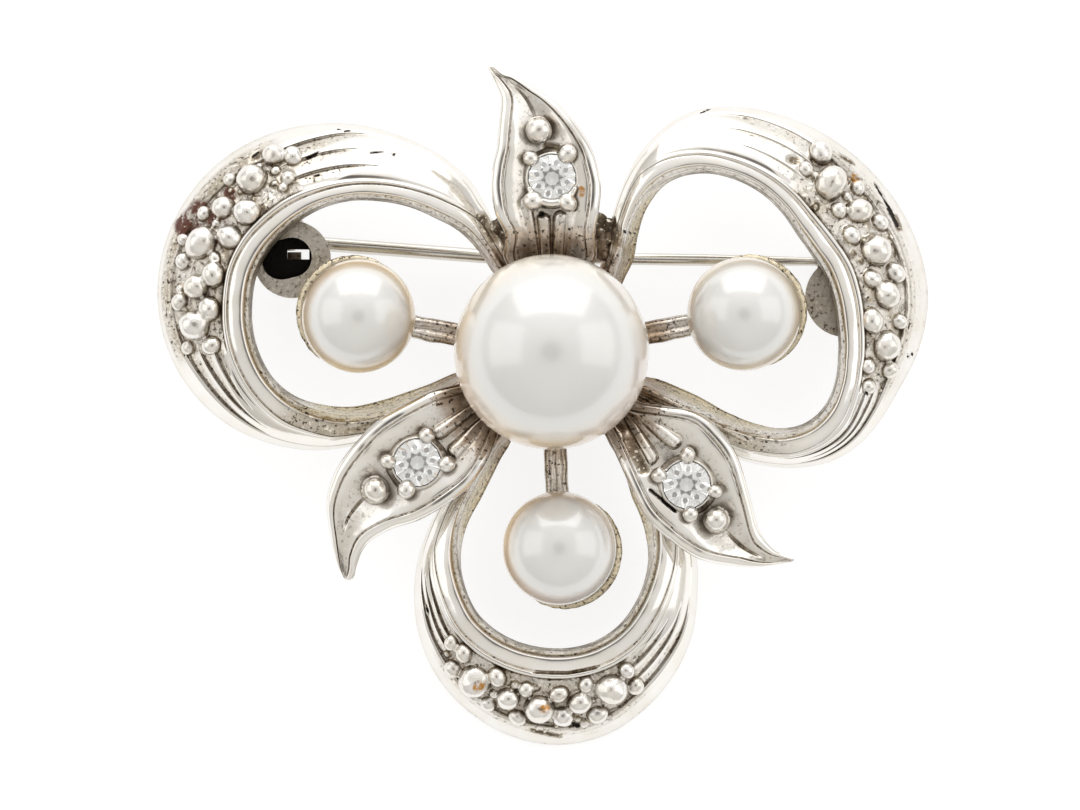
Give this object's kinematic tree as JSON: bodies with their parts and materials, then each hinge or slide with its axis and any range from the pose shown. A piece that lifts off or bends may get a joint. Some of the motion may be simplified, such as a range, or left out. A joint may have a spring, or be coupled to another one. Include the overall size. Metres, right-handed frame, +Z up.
{
  "type": "flower brooch",
  "caption": "Flower brooch with looped ribbon petals, leaves set with small cut stones, pearls, and a hinged pin with a catch on its back.",
  "frame": {"origin": "middle of the brooch's footprint, on the surface that it lies on", "axes": "+X to the wearer-facing viewer's right across the flower, +Y towards the top leaf, +Z up from the surface, towards the viewer; the flower leans back by 6.2 degrees about X, as it lies on its hinge, its catch and the lower petal"},
  "size_m": [0.0278, 0.0241, 0.01],
  "materials": {
    "white_gold": "polished cast white gold, worn, with dark residue in the recesses",
    "pin_wire": "drawn white gold wire, dulled by wear",
    "pearl": "cream-white nacre with a soft lustre",
    "cut_stone": "clear, polished facets"
  },
  "bodies": {
    "brooch": {"flower_frame": "white_gold", "centre_pearl": "pearl", "left_pearl": "pearl", "right_pearl": "pearl", "lower_pearl": "pearl", "top_leaf_stone": "cut_stone", "left_leaf_stone": "cut_stone", "right_leaf_stone": "cut_stone", "hinge_bracket": "white_gold", "hinge_rivet": "white_gold", "catch": "white_gold"},
    "pin": {"pin_stem": "pin_wire"}
  },
  "joints": [
    {"name": "pin_hinge", "type": "hinge", "parent": "brooch", "child": "pin", "pos_m": [-0.00949, 0.00629, 0.00086], "axis": [0, 0.9942, 0.108], "range_deg": [0, 100]}
  ]
}
